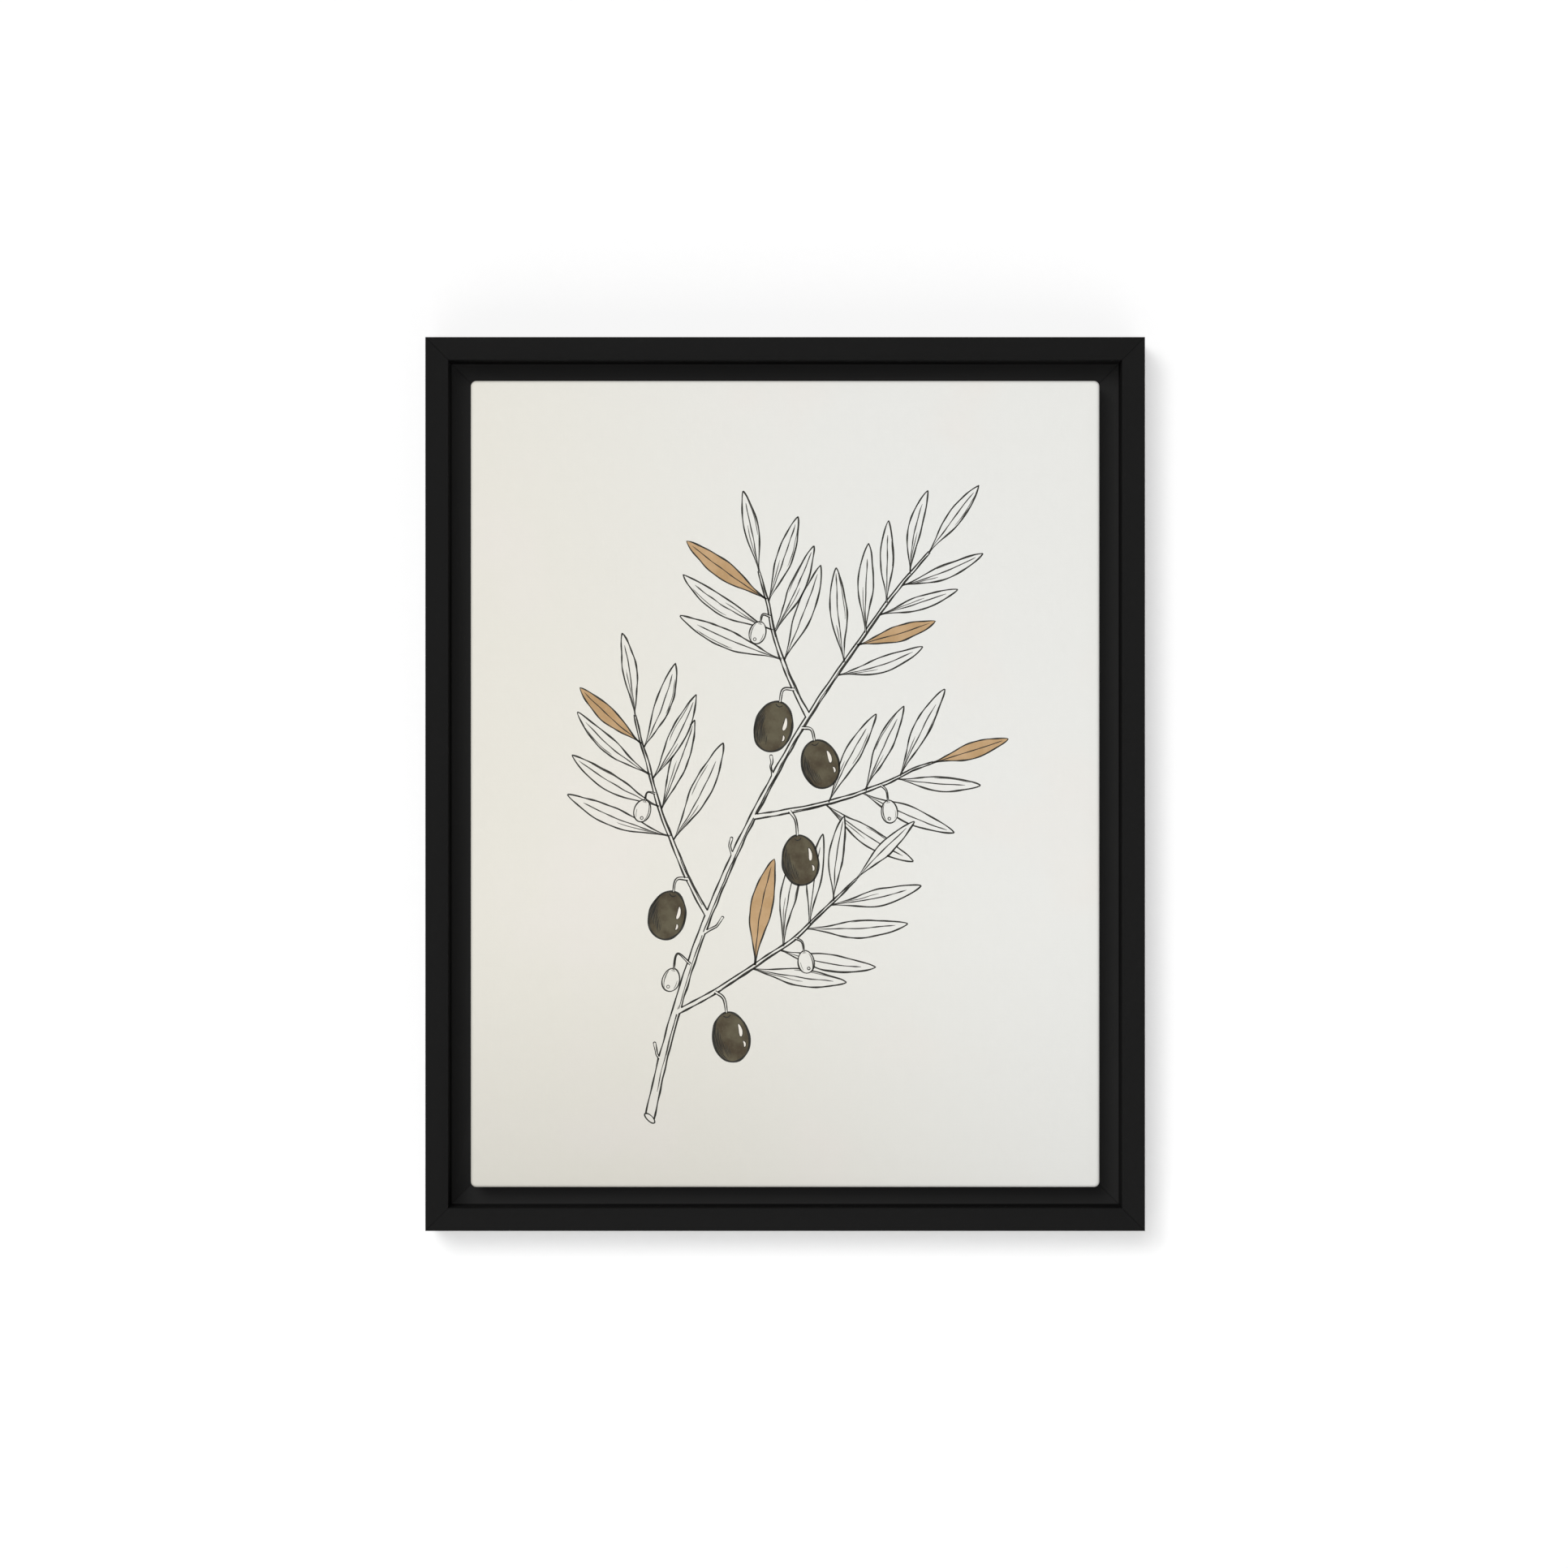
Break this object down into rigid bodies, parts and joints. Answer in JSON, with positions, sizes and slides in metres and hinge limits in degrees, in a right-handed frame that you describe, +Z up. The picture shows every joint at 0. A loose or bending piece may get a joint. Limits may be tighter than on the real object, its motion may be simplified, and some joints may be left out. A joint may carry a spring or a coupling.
{
  "type": "framed canvas print",
  "caption": "Portrait canvas printed with an olive branch drawing, stretched on wooden bars and set in a black floater frame with a sawtooth hanger behind.",
  "frame": {"origin": "flat root of the middle notch of the sawtooth hanger, at the middle of the strip's thickness, where the wall's nail bears", "axes": "+Z up, +X to the right as the picture is looked at, the picture faces -Y and the wall is on its +Y side"},
  "size_m": [0.318, 0.035, 0.395],
  "materials": {
    "frame_paint": "matte black paint on wood",
    "printed_canvas": "matt woven cotton canvas with a printed drawing",
    "bar_pine": "planed bare pine",
    "key_beech": "bare beech",
    "zinc_steel": "zinc-plated steel",
    "hanger_brass": "brass-plated stamped steel",
    "pad_rubber": "matt moulded rubber"
  },
  "bodies": {
    "root": {"canvas": "printed_canvas", "canvas_screw_bottom_1": "zinc_steel", "canvas_screw_bottom_2": "zinc_steel", "canvas_screw_left_1": "zinc_steel", "canvas_screw_left_2": "zinc_steel", "canvas_screw_right_1": "zinc_steel", "canvas_screw_right_2": "zinc_steel", "canvas_screw_top_1": "zinc_steel", "canvas_screw_top_2": "zinc_steel", "corner_key_bottom_1": "key_beech", "corner_key_bottom_2": "key_beech", "corner_key_left_1": "key_beech", "corner_key_left_2": "key_beech", "corner_key_right_1": "key_beech", "corner_key_right_2": "key_beech", "corner_key_top_1": "key_beech", "corner_key_top_2": "key_beech", "corner_nail_bottom_1_ledge": "zinc_steel", "corner_nail_bottom_1_wall": "zinc_steel", "corner_nail_bottom_2_ledge": "zinc_steel", "corner_nail_bottom_2_wall": "zinc_steel", "corner_nail_top_1_ledge": "zinc_steel", "corner_nail_top_1_wall": "zinc_steel", "corner_nail_top_2_ledge": "zinc_steel", "corner_nail_top_2_wall": "zinc_steel", "frame_rail_bottom": "frame_paint", "frame_rail_left": "frame_paint", "frame_rail_right": "frame_paint", "frame_rail_top": "frame_paint", "hanger_brad_1": "hanger_brass", "hanger_brad_2": "hanger_brass", "sawtooth_hanger": "hanger_brass", "staple_bottom_1": "zinc_steel", "staple_bottom_2": "zinc_steel", "staple_bottom_3": "zinc_steel", "staple_bottom_4": "zinc_steel", "staple_left_1": "zinc_steel", "staple_left_2": "zinc_steel", "staple_left_3": "zinc_steel", "staple_left_4": "zinc_steel", "staple_left_5": "zinc_steel", "staple_right_1": "zinc_steel", "staple_right_2": "zinc_steel", "staple_right_3": "zinc_steel", "staple_right_4": "zinc_steel", "staple_right_5": "zinc_steel", "staple_top_1": "zinc_steel", "staple_top_2": "zinc_steel", "staple_top_3": "zinc_steel", "staple_top_4": "zinc_steel", "stretcher_bar_bottom": "bar_pine", "stretcher_bar_left": "bar_pine", "stretcher_bar_right": "bar_pine", "stretcher_bar_top": "bar_pine", "wall_pad_bottom_1": "pad_rubber", "wall_pad_bottom_2": "pad_rubber", "wall_pad_top_1": "pad_rubber", "wall_pad_top_2": "pad_rubber"}
  },
  "joints": []
}
